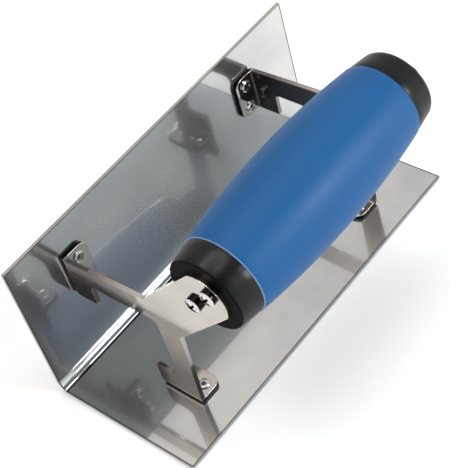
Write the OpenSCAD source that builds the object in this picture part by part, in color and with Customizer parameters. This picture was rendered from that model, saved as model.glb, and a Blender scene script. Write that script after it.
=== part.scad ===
// Inside corner trowel: a blade folded to a right angle, two riveted Y brackets
// and a soft barrel handle held between the brackets by two screws at each end.
// The right wing lies flat on the ground, and the left wing stands up from it.

/* [Blade] */
// Length of the blade along its fold
blade_length = 180; // [170:1:220]
// Width of each wing, measured on its outer face
wing_width = 77; // [70:1:100]
// Thickness of the blade's sheet
blade_sheet = 1.2; // [1:0.1:1.5]
// Inside radius of the fold
fold_radius = 4; // [1:0.5:8]

/* [Brackets] */
// Thickness of the brackets' sheet
bracket_sheet = 2; // [1.6:0.1:2.4]
// Distance from the blade's front end to the front bracket
front_inset = 25.8; // [20:0.2:30]
// Distance from the blade's rear end to the rear bracket
rear_inset = 27; // [20:0.2:30]
// Distance from the fold to the near side of each foot
foot_start = 38; // [34:0.5:40]
// Width of each foot along the blade's wing
foot_width = 21.8; // [20:0.2:24]
// Depth of each foot along the blade's length
foot_depth = 13; // [12:0.5:16]
// Radius of each foot's free corners
foot_corner = 4; // [2:0.5:5]
// Height of the block above each foot, up to the notch
heel_height = 13.5; // [11:0.5:16]
// Width of each leg where it leaves the heel
leg_width = 10; // [9:0.5:12]
// Radius of the notch and of the arch between the legs
notch_radius = 3; // [2:0.5:4]
// Width of the tab that reaches up to the handle
tab_width = 21.6; // [20:0.2:22.4]
// Radius of the tab's round end
tab_end_radius = 11.7; // [11.2:0.1:13]

/* [Handle] */
// Distance from the fold to the handle's axis
handle_height = 120; // [110:0.2:125]
// Radius of the grip at its middle
grip_radius = 22.1; // [20:0.1:24]
// Radius of the grip at its ends
grip_end_radius = 18.8; // [18.2:0.1:19.5]
// Thickness of the soft sleeve
sleeve_wall = 3.5; // [2.5:0.1:4]
// How far the sleeve stands proud of the end caps
sleeve_step = 0.25; // [0.1:0.05:0.5]
// Length of the front end cap that shows
front_cap_length = 10.4; // [9:0.2:14]
// Length of the rear end cap that shows
rear_cap_length = 12.6; // [9:0.2:14]
// Edge radius of the front end cap
front_cap_edge = 1; // [0.5:0.1:1.5]
// Edge radius of the rear end cap
rear_cap_edge = 3; // [1:0.5:4]

/* [Fasteners] */
// Distance between the two rivets of a foot
rivet_spacing = 12; // [10:0.5:13]
// Radius of a rivet's shank
rivet_radius = 2; // [1.6:0.1:2.2]
// Radius of a rivet's rolled head
rivet_head_radius = 2.8; // [2.6:0.1:3.2]
// Distance between the two screws of a handle end
screw_spacing = 13.5; // [12:0.5:14]
// Radius of a screw's thread
screw_radius = 2; // [1.5:0.1:2.2]
// Radius of a screw's head
screw_head_radius = 3.5; // [3:0.1:3.8]
// Height of a screw's head
screw_head_height = 2.6; // [2.2:0.1:3]
// Length of a screw under its head
screw_length = 16; // [12:1:18]

/* [Hidden] */

fit_gap = 0.05;                                       // clearance of a pin, screw or spigot
cut = 1;                                              // how far a cutter runs past a face
bend_outer = bracket_sheet + 0.4;                     // outside radius of a foot's bend
bend_inner = 0.8;                                     // inside radius of a foot's bend
rivet_setback = 7.2;                                  // from a bracket's outer face to its rivets
rivet_countersink = 1.2;                              // how much wider the flush head is
rivet_bore_radius = 1.1;                              // hollow end of a rivet
rivet_bore_depth = 2.2;
rivet_ring_radius = 0.75;                             // roll of a rivet's rolled head
rivet_ring_lift = 0.2;                                // height of the roll's centre over the foot
rivet_dish = 0.6;                                     // height of the dish inside the roll
core_bore_radius = 13.5;
spigot_length = 8;                                    // how far an end cap plugs into the core
core_wall_gap = sleeve_wall + fit_gap;
recess_depth = 1.7;                                   // cross recess in a screw's head
recess_length = 4.4;
recess_width = 1.1;
tip_length = 3;
tip_radius = 0.7;
crown_ratio = 2.2;                                    // crown radius of a screw's head to its radius
leg_slant = 2.4;                                      // how far a leg leans away from the fold

fold_outer = fold_radius + blade_sheet;
foot_end = foot_start + foot_width;
leg_inner = foot_end - leg_width;
half_tab = tab_width / 2;
leg_top = foot_end + leg_slant - half_tab * sqrt(2);  // height at which a leg's outer edge meets the tab
leg_valley = leg_top + half_tab / sqrt(2);
axis_offset = handle_height / sqrt(2);                // from each wing's inner face to the axis
front_face = front_inset + bracket_sheet;             // handle's front face, from the front end
rear_face = rear_inset + bracket_sheet;               // handle's rear face, from the rear end
sleeve_start = front_face + front_cap_length;
sleeve_end = blade_length - rear_face - rear_cap_length;
sleeve_middle = (sleeve_start + sleeve_end) / 2;
sleeve_half = (sleeve_end - sleeve_start) / 2;
sleeve_drop = grip_radius - grip_end_radius;
barrel_radius = (sleeve_half ^ 2 + sleeve_drop ^ 2) / (2 * sleeve_drop);
reach = blade_sheet + axis_offset + grip_radius;      // from the left wing to the grip's far side

steel = [0.78, 0.78, 0.76];
rivet_steel = [0.70, 0.71, 0.71];
screw_steel = [0.62, 0.62, 0.62];
grip_blue = [0.19, 0.43, 0.69];
cap_black = [0.09, 0.09, 0.10];

$fn = 64;
fine = 720;                                           // facets of the large, shallow curves

// Radius of the barrel at a distance from its middle
function barrel_at(d) = grip_radius - barrel_radius + sqrt(barrel_radius ^ 2 - d ^ 2);

// ---- places ----

// Moves a child from the corner frame, whose X axis runs along the fold from the
// blade's front end, to the part's own frame
module placed() translate([-blade_length / 2, reach / 2, 0]) children();

// Mirrors a child of the right wing onto the left wing
module left_side() mirror([0, 1, 1]) children();

// Turns a child that starts at the front end round to the rear end
module rear_end() translate([blade_length, 0, 0]) mirror([1, 0, 0]) children();

// Stands a flat outline up across the blade: its first coordinate is the height above
// the right wing's inner face, its second the distance from the left wing's inner face
module across_blade() translate([0, -blade_sheet, blade_sheet]) rotate(180, [1, 0, 1]) children();

// Puts a child whose Z axis is the handle's axis into the corner frame
module on_axis(x) {
  translate([x, -blade_sheet - axis_offset, blade_sheet + axis_offset]) rotate([0, 90, 0]) children();
}

// Places a child at one of the two screws, side -1 nearer the fold and 1 farther away
module at_screw(side) rotate([0, 0, 225]) translate([side * screw_spacing / 2, 0, 0]) children();

// Places a child at one of a right foot's two rivets, side -1 nearer the fold
module at_rivet(inset, side) {
  out = foot_start + foot_width / 2 + side * rivet_spacing / 2;
  translate([inset + rivet_setback, -blade_sheet - out, 0]) children();
}

// ---- blade ----

module rivet_hole() {
  cylinder(r = rivet_radius + fit_gap, h = blade_sheet + bracket_sheet + cut);
  translate([0, 0, -cut]) cylinder(r = rivet_radius + rivet_countersink + fit_gap, h = cut);
  cylinder(r1 = rivet_radius + rivet_countersink + fit_gap, r2 = rivet_radius + fit_gap, h = blade_sheet);
}

// Section of the sheet, its corner at the origin: two flat wings and the fold between them
module blade_section() {
  intersection() {
    square(fold_outer);
    translate([fold_outer, fold_outer]) difference() {
      circle(r = fold_outer, $fn = fine);
      circle(r = fold_radius, $fn = fine);
    }
  }
  translate([fold_outer, 0]) square([wing_width - fold_outer, blade_sheet]);
  translate([0, fold_outer]) square([blade_sheet, wing_width - fold_outer]);
}

module blade() {
  color(steel) placed() difference() {
    rotate(180, [1, 0, 1]) linear_extrude(blade_length) blade_section();
    for (side = [-1, 1]) {
      at_rivet(front_inset, side) rivet_hole();
      left_side() at_rivet(front_inset, side) rivet_hole();
      rear_end() at_rivet(rear_inset, side) rivet_hole();
      rear_end() left_side() at_rivet(rear_inset, side) rivet_hole();
    }
  }
}

// ---- brackets ----

// Right leg, from the foot's heel up to the line halfway between the wings
module leg_outline() {
  polygon([
    [0, foot_start],
    [0, foot_end],
    [leg_top, foot_end + leg_slant],
    [leg_valley, leg_valley],
    [leg_inner, leg_inner],
    [heel_height, leg_inner],
    [heel_height, foot_start]
  ]);
  translate([heel_height, leg_inner - notch_radius]) difference() {
    square(notch_radius);
    translate([notch_radius, 0]) circle(r = notch_radius);
  }
}

module tab_outline() {
  base = leg_inner * sqrt(2) + notch_radius;
  rotate(45) {
    translate([base, -half_tab]) square([handle_height - base, tab_width]);
    intersection() {
      translate([handle_height, 0]) circle(r = tab_end_radius);
      translate([handle_height, -half_tab]) square([tab_end_radius, tab_width]);
    }
  }
}

module bracket_outline() {
  leg_outline();
  mirror([1, -1]) leg_outline();
  tab_outline();
  translate([leg_inner - notch_radius, leg_inner - notch_radius]) difference() {
    square(notch_radius);
    circle(r = notch_radius);
  }
}

// Right foot, lying on the wing, with a fillet inside its bend
module foot() {
  translate([0, -blade_sheet - foot_end, blade_sheet]) {
    linear_extrude(bracket_sheet) {
      square([foot_depth - foot_corner, foot_width]);
      translate([0, foot_corner]) square([foot_depth, foot_width - 2 * foot_corner]);
      for (y = [foot_corner, foot_width - foot_corner])
        translate([foot_depth - foot_corner, y]) circle(r = foot_corner);
    }
    translate([bracket_sheet, foot_width, bracket_sheet]) rotate([90, 0, 0]) {
      linear_extrude(foot_width) difference() {
        square(bend_inner);
        translate([bend_inner, bend_inner]) circle(r = bend_inner);
      }
    }
  }
}

// What the bend takes off the right foot's outer corner
module bend_cutter() {
  translate([0, -blade_sheet - foot_start + cut, blade_sheet]) rotate([90, 0, 0]) {
    linear_extrude(foot_width + 2 * cut) difference() {
      translate([-cut, -cut]) square(bend_outer + cut);
      translate([bend_outer, bend_outer]) circle(r = bend_outer);
    }
  }
}

// A bracket whose outer face is at X = 0 and whose feet point along +X
module bracket() {
  difference() {
    union() {
      across_blade() linear_extrude(bracket_sheet) bracket_outline();
      foot();
      left_side() foot();
    }
    bend_cutter();
    left_side() bend_cutter();
    for (side = [-1, 1]) {
      at_rivet(0, side) rivet_hole();
      left_side() at_rivet(0, side) rivet_hole();
      on_axis(-cut) at_screw(side) cylinder(r = screw_radius + fit_gap, h = bracket_sheet + 2 * cut);
    }
  }
}

module front_bracket() color(steel) placed() translate([front_inset, 0, 0]) bracket();

module rear_bracket() color(steel) placed() rear_end() translate([rear_inset, 0, 0]) bracket();

// ---- rivets ----

// A rivet with a flush head in the working face and a rolled, hollow end on the foot
module rivet() {
  top = blade_sheet + bracket_sheet;
  color(rivet_steel) rotate_extrude() difference() {
    union() {
      polygon([
        [0, 0],
        [rivet_radius + rivet_countersink, 0],
        [rivet_radius, blade_sheet],
        [0, blade_sheet]
      ]);
      square([rivet_radius, top + rivet_ring_radius]);
      intersection() {
        translate([rivet_head_radius - rivet_ring_radius, top + rivet_ring_lift])
          circle(r = rivet_ring_radius);
        translate([0, top]) square(rivet_head_radius + cut);
      }
    }
    translate([0, top + rivet_dish - rivet_bore_depth]) square([rivet_bore_radius, rivet_bore_depth + cut]);
    translate([0, top + rivet_dish]) square([rivet_head_radius - rivet_ring_radius, cut]);
  }
}

module front_rivet(side) placed() at_rivet(front_inset, side) rivet();

module front_left_rivet(side) placed() left_side() at_rivet(front_inset, side) rivet();

module rear_rivet(side) placed() rear_end() at_rivet(rear_inset, side) rivet();

module rear_left_rivet(side) placed() rear_end() left_side() at_rivet(rear_inset, side) rivet();

// ---- handle ----

// Half section of the barrel between two distances from its middle, thinned by some amount:
// its first coordinate is the radius, its second runs along the axis
module barrel_section(from, to, thinner) {
  intersection() {
    translate([grip_radius - barrel_radius - thinner, 0]) circle(r = barrel_radius, $fn = fine);
    translate([0, from]) square([grip_radius + cut, to - from]);
  }
}

module grip_sleeve() {
  color(grip_blue) placed() on_axis(sleeve_middle) rotate_extrude() difference() {
    barrel_section(-sleeve_half, sleeve_half, 0);
    barrel_section(-sleeve_half - cut, sleeve_half + cut, sleeve_wall);
  }
}

module handle_core() {
  color(cap_black) placed() on_axis(sleeve_middle) rotate_extrude() difference() {
    barrel_section(-sleeve_half, sleeve_half, core_wall_gap);
    translate([0, -sleeve_half - cut]) square([core_bore_radius, 2 * (sleeve_half + cut)]);
  }
}

// End cap whose outer face is at Z = 0: a collar that carries the barrel's curve on,
// and a spigot that plugs the core
module end_cap(length, edge) {
  to_middle = length + sleeve_half;
  edge_radius = barrel_at(to_middle - edge) - sleeve_step;
  difference() {
    rotate_extrude() {
      intersection() {
        translate([0, to_middle]) barrel_section(-to_middle, -sleeve_half, sleeve_step);
        union() {
          translate([0, edge]) square([grip_radius, length]);
          square([edge_radius - edge, length]);
          translate([edge_radius - edge, edge]) circle(r = edge);
        }
      }
      square([core_bore_radius - fit_gap, length + spigot_length]);
    }
    for (side = [-1, 1]) {
      at_screw(side) translate([0, 0, -cut])
        cylinder(r = screw_radius + fit_gap, h = screw_length - bracket_sheet + 2 * cut);
    }
  }
}

module front_end_cap() {
  color(cap_black) placed() on_axis(front_face) end_cap(front_cap_length, front_cap_edge);
}

module rear_end_cap() {
  color(cap_black) placed() rear_end() on_axis(rear_face) end_cap(rear_cap_length, rear_cap_edge);
}

// ---- screws ----

// Pan-head screw with a cross recess: its head's underside is at Z = 0
module screw() {
  crown = screw_head_radius * crown_ratio;
  color(screw_steel) {
    difference() {
      rotate_extrude() intersection() {
        translate([0, -screw_head_height]) square([screw_head_radius, screw_head_height]);
        translate([0, crown - screw_head_height]) circle(r = crown);
      }
      for (turn = [0, 90])
        rotate([0, 0, turn]) translate([-recess_length / 2, -recess_width / 2, -screw_head_height - cut])
          cube([recess_length, recess_width, recess_depth + cut]);
    }
    cylinder(r = screw_radius, h = screw_length - tip_length);
    translate([0, 0, screw_length - tip_length])
      cylinder(r1 = screw_radius, r2 = tip_radius, h = tip_length);
  }
}

module front_screw(side) placed() on_axis(front_inset) at_screw(side) screw();

module rear_screw(side) placed() rear_end() on_axis(rear_inset) at_screw(side) screw();

blade();
front_bracket();
rear_bracket();
front_rivet(-1);  // rivet_front_right_inner
front_rivet(1);  // rivet_front_right_outer
front_left_rivet(-1);  // rivet_front_left_inner
front_left_rivet(1);  // rivet_front_left_outer
rear_rivet(-1);  // rivet_rear_right_inner
rear_rivet(1);  // rivet_rear_right_outer
rear_left_rivet(-1);  // rivet_rear_left_inner
rear_left_rivet(1);  // rivet_rear_left_outer
grip_sleeve();
handle_core();
front_end_cap();
rear_end_cap();
front_screw(-1);  // screw_front_lower
front_screw(1);  // screw_front_upper
rear_screw(-1);  // screw_rear_lower
rear_screw(1);  // screw_rear_upper
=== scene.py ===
"""Looks of the inside corner trowel: edges, materials, floor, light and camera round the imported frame."""

import math

import bpy
from mathutils import Matrix, Vector


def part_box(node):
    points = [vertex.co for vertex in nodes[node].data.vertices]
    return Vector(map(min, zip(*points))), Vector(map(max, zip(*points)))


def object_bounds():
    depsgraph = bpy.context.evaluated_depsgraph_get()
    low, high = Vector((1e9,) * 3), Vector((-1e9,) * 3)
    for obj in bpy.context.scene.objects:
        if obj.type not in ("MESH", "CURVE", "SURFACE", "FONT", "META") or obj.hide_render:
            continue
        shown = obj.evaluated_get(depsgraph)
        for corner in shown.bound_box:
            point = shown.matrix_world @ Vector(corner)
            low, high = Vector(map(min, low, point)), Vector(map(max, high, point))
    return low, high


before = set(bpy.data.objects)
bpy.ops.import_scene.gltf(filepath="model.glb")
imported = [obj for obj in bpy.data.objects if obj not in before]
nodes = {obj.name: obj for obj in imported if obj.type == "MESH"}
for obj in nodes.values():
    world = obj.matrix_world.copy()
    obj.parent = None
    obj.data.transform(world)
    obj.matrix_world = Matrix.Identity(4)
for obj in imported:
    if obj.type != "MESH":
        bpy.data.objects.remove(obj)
cad_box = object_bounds()

MM = 0.001
SHEET = 1.2 * MM                                        # thickness of the blade

blade_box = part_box("blade")
blade_face = blade_box[1].y - SHEET                     # Y of the left wing's inner face
blade_end = blade_box[1].x                              # X of the blade's rear end
wing_inside = blade_box[1].z - SHEET                    # width of a wing's inner face
sleeve_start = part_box("grip_sleeve")[0].x
sleeve_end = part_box("grip_sleeve")[1].x
middle = (cad_box[0] + cad_box[1]) / 2

brackets = ["front_bracket", "rear_bracket"]
rivets = [name for name in nodes if name.startswith("rivet_")]
screws = [name for name in nodes if name.startswith("screw_")]
caps = ["front_end_cap", "rear_end_cap"]


# ---- node trees ----


NOISE_LOW, NOISE_HIGH = 0.3, 0.7                        # a noise seldom goes past these
MIX_SHARE, MIX_FIRST, MIX_SECOND, MIX_RESULT = 0, 6, 7, 2    # sockets of a Mix node that mixes colours


class Tree:
    """Adds nodes to a node tree. An input is a number, a colour, a vector or another node's output."""

    def __init__(self, tree):
        self.tree = tree
        self.tree.nodes.clear()

    def add(self, kind, inputs=None, output=0, **settings):
        node = self.tree.nodes.new("ShaderNode" + kind)
        for name, value in settings.items():
            setattr(node, name, value)
        for socket, value in (inputs or {}).items():
            self.put(node, socket, value)
        return node.outputs[output]

    def put(self, node, socket, value):
        if isinstance(value, bpy.types.NodeSocket):
            self.tree.links.new(value, node.inputs[socket])
        else:
            node.inputs[socket].default_value = value

    def split(self, vector):
        """X, Y and Z of a vector."""
        node = self.tree.nodes.new("ShaderNodeSeparateXYZ")
        self.put(node, 0, vector)
        return node.outputs["X"], node.outputs["Y"], node.outputs["Z"]

    def place(self, stretch=(1, 1, 1)):
        """Position in the row frame, in metres, scaled for a texture."""
        here = self.add("TexCoord", output="Object")
        return self.add("Mapping", {"Vector": here, "Scale": stretch})

    def noise(self, scale, detail=3, rough=0.5, stretch=(1, 1, 1)):
        """Noise with so many features a metre."""
        where = self.place(stretch)
        return self.add("TexNoise", {"Vector": where, "Scale": scale, "Detail": detail, "Roughness": rough})

    def ramp(self, value, low, high, to_low=0.0, to_high=1.0, smooth=False):
        """A value's stretch from low to high, turned into one from to_low to to_high."""
        kind = "SMOOTHSTEP" if smooth else "LINEAR"
        inputs = {0: value, 1: low, 2: high, 3: to_low, 4: to_high}
        return self.add("MapRange", inputs, interpolation_type=kind, clamp=True)

    def vary(self, noise, to_low=0.0, to_high=1.0):
        """A noise's usual stretch, turned into one from to_low to to_high."""
        return self.ramp(noise, NOISE_LOW, NOISE_HIGH, to_low, to_high)

    def mix(self, share, first, second):
        """A colour between two others."""
        node = self.tree.nodes.new("ShaderNodeMix")
        node.data_type = "RGBA"
        for socket, value in ((MIX_SHARE, share), (MIX_FIRST, first), (MIX_SECOND, second)):
            self.put(node, socket, value)
        return node.outputs[MIX_RESULT]

    def math(self, operation, first, second=0.0):
        return self.add("Math", {0: first, 1: second}, operation=operation)

    def inside(self, value, start, end, fade):
        """1 where a value lies between start and end, 0 elsewhere, with a fade at each end."""
        rise = self.ramp(value, start, start + fade[0])
        fall = self.ramp(value, end, end + fade[1], 1.0, 0.0)
        return self.math("MULTIPLY", rise, fall)

    def aim(self, vector, way):
        """How closely a vector points a given way, up to 1."""
        return self.add("VectorMath", {0: vector, 1: way}, output="Value", operation="DOT_PRODUCT")

    def bump(self, height, distance, under=None):
        """A normal tilted by a height, over the normal under it."""
        inputs = {"Height": height, "Distance": distance}
        if under is not None:
            inputs["Normal"] = under
        return self.add("Bump", inputs)


def linear(red, green, blue):
    """A colour given as 0 to 255 on a screen, as light."""
    def one(value):
        share = value / 255
        return share / 12.92 if share <= 0.04045 else ((share + 0.055) / 1.055) ** 2.4
    return (one(red), one(green), one(blue), 1.0)


def material(name, build):
    """A material whose build function returns the inputs of its one Principled shader."""
    made = bpy.data.materials.new(name)
    made.use_nodes = True
    tree = Tree(made.node_tree)
    shader = tree.add("BsdfPrincipled", build(tree))
    out = made.node_tree.nodes.new("ShaderNodeOutputMaterial")
    made.node_tree.links.new(shader, out.inputs["Surface"])
    return made


def dress(node_names, finish):
    """Gives CAD nodes their material."""
    for name in node_names:
        mesh = nodes[name].data
        mesh.materials.clear()
        mesh.materials.append(finish)


# ---- rounded edges ----

WELD_REACH = 0.001 * MM
EDGE_SEGMENTS = 3
EDGE_ANGLE = math.radians(30)
SLEEVE_EDGE = 0.4 * MM
CAP_EDGE = 0.2 * MM


def weld(node_names):
    """Joins the corners that the CAD mesh holds once for each face."""
    for name in node_names:
        nodes[name].modifiers.new("weld", "WELD").merge_threshold = WELD_REACH


def soften_edges(node_names, width):
    """Rounds the sharp edges of CAD nodes, so that they catch the light."""
    for name in node_names:
        bevel = nodes[name].modifiers.new("bevel", "BEVEL")
        bevel.width = width
        bevel.segments = EDGE_SEGMENTS
        bevel.limit_method = "ANGLE"
        bevel.angle_limit = EDGE_ANGLE
        bevel.harden_normals = True
        bevel.use_clamp_overlap = False


# ---- materials ----

EASING_REACH = 12 * MM                                  # how far the slow curve of the fold runs into a wing
EASING_HEIGHT = 0.34 * MM                               # how far it lifts the wing's face at the fold
RIM_WIDTH = 0.5 * MM                                    # painted shade: dark lines along the blade's cut edges
RIM_FADE = 0.1 * MM
RIM_START = 0.02 * MM                                   # nearer the edge than this is the cut face itself
RIM_START_FADE = 0.03 * MM
CREASE_START = 2.5 * MM                                 # painted shade in the fold's crease, from the left wing's inner face
CREASE_END = 3.7 * MM
CREASE_FADES = (0.3 * MM, 0.4 * MM)
CREASE_TOP = 0.8 * MM                                   # how far it goes up from the right wing's inner face
CREASE_TOP_FADE = 0.2 * MM

FOOT_TOP = 2.2 * MM                                     # a bracket is bright below this, on its feet, free of the painted leg shade
FOOT_FADE = 1.3 * MM
LEG_SHADE_START = 12 * MM                                    # a leg's painted shade is darkest below this
LEG_SHADE_END = 50 * MM                                      # and gone above this, where the leg is brightest
LEG_SHADE_WANDER = 3 * MM                                    # how unevenly it begins and ends
CONTACT_SHADOW_HEIGHT = 1.4 * MM                                  # painted shadow where a foot meets its wing
CONTACT_SHADOW_FADE = 0.4 * MM
BRACKET_EDGE = 0.4 * MM                                 # radius of a bracket's edges, in its shading alone

LIP_WIDTH = 0.35 * MM                                   # painted highlight on the sleeve's front lip, painted shadow in the gap at its rear
LIP_FADE = 0.6 * LIP_WIDTH


def from_wings(t):
    """Distances from the left and right wings' inner faces, and from the blade's nearer end."""
    along, side, height = t.split(t.place())
    beside = t.math("SUBTRACT", blade_face, side)
    above = t.math("SUBTRACT", height, SHEET)
    from_end = t.math("SUBTRACT", blade_end, t.math("ABSOLUTE", along))
    return beside, above, from_end


def fold_easing(t, beside, above):
    """Height in metres, on a wing's inner face, of the slow curve that runs into the fold."""
    away = t.math("MAXIMUM", beside, above)
    left = t.ramp(away, 0.0, EASING_REACH, 1.0, 0.0)
    return t.math("MULTIPLY", t.math("MULTIPLY", left, left), EASING_HEIGHT)


def cut_edge_shade(t, beside, above, from_end):
    """1 on the painted shade, dark lines on either side of the blade's cut edges, 0 elsewhere."""
    from_edge = t.math("SUBTRACT", wing_inside, t.math("MAXIMUM", beside, above))
    rim = t.math("MINIMUM", from_edge, from_end)
    on_face = t.inside(rim, RIM_START, RIM_WIDTH, (RIM_START_FADE, RIM_FADE))
    depth = t.math("MINIMUM", beside, above)
    far_side = t.ramp(depth, RIM_WIDTH - SHEET - RIM_FADE, RIM_WIDTH - SHEET, 1.0, 0.0)
    on_edge = t.ramp(rim, RIM_START, RIM_START + RIM_START_FADE, 1.0, 0.0)
    return t.math("MAXIMUM", on_face, t.math("MULTIPLY", far_side, on_edge))


def fold_crease_shade(t, beside, above):
    """1 along the painted shade where the fold runs into the right wing, 0 elsewhere."""
    in_line = t.inside(beside, CREASE_START, CREASE_END, CREASE_FADES)
    low = t.ramp(above, CREASE_TOP, CREASE_TOP + CREASE_TOP_FADE, 1.0, 0.0)
    return t.math("MULTIPLY", in_line, low)


def blade_look(t):
    """Polished stainless sheet: a haze under a sharp reflection, faint rolling lines and smears."""
    lines = t.noise(1.0, detail=4, rough=0.6, stretch=(25, 2600, 2600))
    smears = t.noise(26, detail=4, rough=0.55, stretch=(0.6, 1, 1))
    waves = t.noise(60, detail=2)
    beside, above, from_end = from_wings(t)
    smeared = t.ramp(smears, 0.35, 0.7)
    # painted shade along the cut edges and in the fold's crease
    edge_and_crease_shade = t.math("MAXIMUM", cut_edge_shade(t, beside, above, from_end), fold_crease_shade(t, beside, above))
    colour = t.mix(smeared, linear(190, 191, 186), linear(158, 161, 166))
    haze = t.ramp(smears, 0.35, 0.7, 0.16, 0.23)
    rolled = t.bump(lines, 0.0006 * MM)
    wavy = t.bump(waves, 0.008 * MM, under=rolled)
    eased = t.bump(fold_easing(t, beside, above), 1.0, under=wavy)
    clear = t.vary(smears, 1.0, 0.85)
    return {
        # near-black colour of that painted shade
        "Base Color": t.mix(edge_and_crease_shade, colour, linear(24, 23, 22)),
        "Metallic": 0.88,
        "Roughness": t.math("ADD", haze, t.vary(lines, -0.02, 0.02)),
        "Normal": eased,
        "Coat Weight": t.math("MULTIPLY", clear, t.math("SUBTRACT", 1.0, edge_and_crease_shade)),
        "Coat IOR": 3.3,
        "Coat Roughness": 0.035,
        "Coat Normal": eased,
    }


def bracket_look(t):
    """Polished stamped steel, with painted shade darkening the legs towards the wings and a painted shadow
    where it meets them.
    """
    grain = t.noise(2500, detail=2)
    clouds = t.noise(70, detail=3)
    beside, above, _ = from_wings(t)
    from_wing = t.math("MINIMUM", beside, above)
    uneven = t.math("ADD", from_wing, t.vary(clouds, -LEG_SHADE_WANDER, LEG_SHADE_WANDER))
    low = t.ramp(uneven, LEG_SHADE_START, LEG_SHADE_END, 1.0, 0.0, smooth=True)
    leg_shade = t.math("MULTIPLY", low, t.ramp(from_wing, FOOT_TOP, FOOT_TOP + FOOT_FADE))
    # painted shadow where a foot meets its wing
    contact_shadow = t.ramp(from_wing, CONTACT_SHADOW_HEIGHT, CONTACT_SHADOW_HEIGHT + CONTACT_SHADOW_FADE, 1.0, 0.0)
    colour = t.mix(t.vary(clouds), linear(198, 193, 187), linear(187, 181, 175))
    # painted shade: the legs darker towards the wings, their feet left bright
    colour = t.mix(leg_shade, colour, linear(126, 117, 112))
    rounded = t.add("Bevel", {"Radius": BRACKET_EDGE}, samples=8)
    return {
        "Base Color": t.mix(contact_shadow, colour, linear(14, 13, 12)),
        "Metallic": 1.0,
        "Roughness": t.vary(clouds, 0.05, 0.1),
        "Normal": t.bump(grain, 0.0008 * MM, under=rounded),
    }


def rivet_look(t):
    """Bright steel, rolled over by the press."""
    marks = t.noise(900, detail=3)
    return {
        "Base Color": t.mix(t.ramp(marks, 0.35, 0.7), linear(214, 214, 212), linear(178, 178, 176)),
        "Metallic": 1.0,
        "Roughness": t.vary(marks, 0.1, 0.22),
        "Normal": t.bump(marks, 0.01 * MM),
    }


def facing_along(t, low, high):
    """From 0 to 1 as a face turns to look along the handle."""
    along, _, _ = t.split(t.add("TexCoord", output="Normal"))
    return t.ramp(t.math("ABSOLUTE", along), low, high)


def screw_look(t):
    """Zinc-plated steel, with a painted highlight on the crown and painted shade on the sides and in the
    recess.
    """
    marks = t.noise(1200, detail=3)
    bright = t.mix(t.ramp(marks, 0.35, 0.7), linear(225, 225, 223), linear(190, 190, 192))
    return {
        # painted light: crown faces bright, sides and recess dark
        "Base Color": t.mix(facing_along(t, 0.55, 0.8), linear(40, 34, 30), bright),
        "Metallic": 1.0,
        "Roughness": t.vary(marks, 0.12, 0.22),
        "Normal": t.bump(marks, 0.01 * MM),
    }


def grip_look(t):
    """Blue soft-touch rubber: a fine matt grain, with a painted highlight on the lip in front and a painted
    shadow in the gap behind.
    """
    grain = t.noise(4200, detail=3, rough=0.6)
    clouds = t.noise(38, detail=4)
    along, _, _ = t.split(t.place())
    lip_highlight = t.ramp(along, sleeve_start + LIP_WIDTH, sleeve_start + LIP_WIDTH + LIP_FADE, 1.0, 0.0)
    gap_shadow = t.ramp(along, sleeve_end - LIP_WIDTH - LIP_FADE, sleeve_end - LIP_WIDTH)
    colour = t.mix(t.ramp(clouds, 0.3, 0.72), linear(15, 78, 131), linear(20, 83, 136))
    # painted highlight along the sleeve's front lip
    colour = t.mix(lip_highlight, colour, linear(112, 142, 178))
    return {
        # painted shadow in the gap at the sleeve's rear
        "Base Color": t.mix(gap_shadow, colour, linear(10, 16, 24)),
        "Roughness": t.vary(clouds, 0.42, 0.54),
        "Normal": t.bump(grain, 0.02 * MM),
        "Specular IOR Level": 0.2,
    }


def cap_look(t):
    """Black moulded plastic: a satin skin round it, matt on its flat ends."""
    grain = t.noise(3000, detail=2)
    clouds = t.noise(90, detail=3)
    round_side = t.math("SUBTRACT", 1.0, facing_along(t, 0.5, 0.85))
    return {
        "Base Color": t.mix(t.vary(clouds), linear(8, 8, 9), linear(13, 13, 14)),
        "Roughness": t.vary(clouds, 0.38, 0.46),
        "Normal": t.bump(grain, 0.008 * MM),
        "Specular IOR Level": 0.02,
        "Coat Weight": t.math("MULTIPLY", round_side, t.vary(clouds, 0.48, 0.4)),
        "Coat Roughness": 0.3,
    }


def floor_look(t):
    """Pale, matt studio floor."""
    clouds = t.noise(3, detail=3)
    return {
        "Base Color": t.mix(t.vary(clouds), (0.92, 0.92, 0.92, 1), (0.94, 0.94, 0.935, 1)),
        "Roughness": 0.85,
        "Specular IOR Level": 0.2,
    }


dress(["blade"], material("blade_steel", blade_look))
dress(brackets, material("bracket_steel", bracket_look))
dress(rivets, material("rivet_steel", rivet_look))
dress(screws, material("screw_steel", screw_look))
dress(["grip_sleeve"], material("grip_rubber", grip_look))
dress(caps + ["handle_core"], material("cap_plastic", cap_look))

weld(["grip_sleeve"] + caps)
soften_edges(["grip_sleeve"], SLEEVE_EDGE)
soften_edges(caps, CAP_EDGE)


# ---- floor ----

FLOOR_REACH = 4.0
FLOOR_DROP = 0.1 * MM                                   # keeps the floor clear of the blade's face

floor_mesh = bpy.data.meshes.new("floor")
corners = [(-1, -1), (1, -1), (1, 1), (-1, 1)]
floor_points = [(x * FLOOR_REACH, y * FLOOR_REACH, -FLOOR_DROP) for x, y in corners]
floor_mesh.from_pydata(floor_points, [], [(0, 1, 2, 3)])
floor = bpy.data.objects.new("floor", floor_mesh)
floor_mesh.materials.append(material("floor_matt", floor_look))
bpy.context.scene.collection.objects.link(floor)


# ---- light ----

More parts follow.
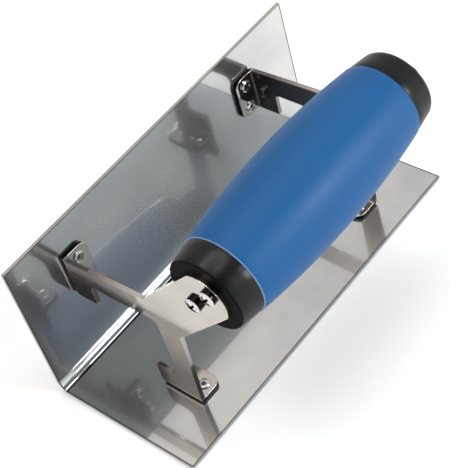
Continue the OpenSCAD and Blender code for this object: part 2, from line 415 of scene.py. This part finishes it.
# Light of the surround, as red, green, blue and 1
LOW_SIDE = (0.90, 0.98, 1.03, 1)
HIGH_SIDE = (0.41, 0.45, 0.455, 1)
FORWARD_SIDE = (0.56, 0.60, 0.62, 1)
REARWARD_SIDE = (0.90, 0.96, 0.97, 1)
UPPER_SIDE = (0.15, 0.18, 0.17, 1)
WARM_BACK = (0.90, 0.86, 0.83, 1)
ROOF = (6.2, 6.2, 6.2, 1)
ZENITH = (0.5, 0.5, 0.5, 1)
DARK_CARD = (0.02, 0.02, 0.022, 1)
BACKDROP = (1.0, 1.0, 1.0, 1)

DARK_CARD_WAY = (-0.4234, -0.5462, 0.7228)
SOFTBOX_WAY = Vector((0.42, -0.84, 0.37)).normalized()
SOFTBOX_DISTANCE = 1.2                                  # in metres
SOFTBOX_SIZE = 0.35
SOFTBOX_WATTS = 9


def studio(world):
    """Soft surround: cool and darker at -Y, warm at the back, a bright roof, and a dark card at the front."""
    world.use_nodes = True
    t = Tree(world.node_tree)
    way = t.add("TexCoord", output="Generated")
    along, side, height = t.split(way)

    def shade(light, value, start, end, colour):
        """Turns the light into another as a value of the direction goes from start to end."""
        return t.mix(t.ramp(value, start, end, smooth=True), light, colour)

    light = shade(LOW_SIDE, height, 0.54, 0.65, HIGH_SIDE)
    rise = t.ramp(along, 0.31, 0.345, smooth=True)
    fall = t.ramp(along, 0.37, 0.41, 1.0, 0.0, smooth=True)
    light = t.mix(t.math("MULTIPLY", rise, fall), light, FORWARD_SIDE)
    light = shade(light, along, 0.44, 0.54, REARWARD_SIDE)
    light = shade(light, height, 0.71, 0.79, UPPER_SIDE)
    light = shade(light, side, -0.35, 0.1, WARM_BACK)
    light = shade(light, height, 0.90, 0.95, ROOF)
    light = shade(light, height, 0.972, 0.985, ZENITH)
    light = shade(light, t.aim(way, DARK_CARD_WAY), 0.80, 0.92, DARK_CARD)
    light = t.mix(t.add("LightPath", output="Is Camera Ray"), light, BACKDROP)
    out = world.node_tree.nodes.new("ShaderNodeOutputWorld")
    world.node_tree.links.new(t.add("Background", {"Color": light}), out.inputs["Surface"])


def softbox(name, way, distance, size, watts):
    """Square area light at a distance from the trowel's middle, facing it."""
    data = bpy.data.lights.new(name, "AREA")
    data.size = size
    data.energy = watts
    lamp = bpy.data.objects.new(name, data)
    lamp.location = middle + way * distance
    lamp.rotation_mode = "QUATERNION"
    lamp.rotation_quaternion = way.to_track_quat("Z", "Y")
    bpy.context.scene.collection.objects.link(lamp)


bpy.context.scene.world = bpy.data.worlds.new("studio")
studio(bpy.context.scene.world)
softbox("side_softbox", SOFTBOX_WAY, SOFTBOX_DISTANCE, SOFTBOX_SIZE, SOFTBOX_WATTS)
bpy.context.scene.view_settings.view_transform = "Standard"


# ---- camera ----

CAMERA_PLACE = Vector((-0.24656, -0.29222, 0.44667))
LOOK = Vector((0.42336, 0.54624, -0.72276))             # the way it looks, over the trowel's front corner
UP = Vector((0.66569, 0.35357, 0.65715))
LENS = 103.05                                           # in mm
SENSOR = 36                                             # the picture's long side, in mm
CLIP_START = 0.01                                       # in metres

camera = bpy.data.objects.new("camera", bpy.data.cameras.new("camera"))
camera.data.lens = LENS
camera.data.sensor_width = SENSOR
camera.data.clip_start = CLIP_START
camera.rotation_mode = "QUATERNION"
right = LOOK.cross(UP).normalized()
true_up = right.cross(LOOK).normalized()
turn = Matrix((right, true_up, -LOOK.normalized())).transposed()
camera.location = CAMERA_PLACE
camera.rotation_quaternion = turn.to_quaternion()
bpy.context.scene.collection.objects.link(camera)
bpy.context.scene.camera = camera
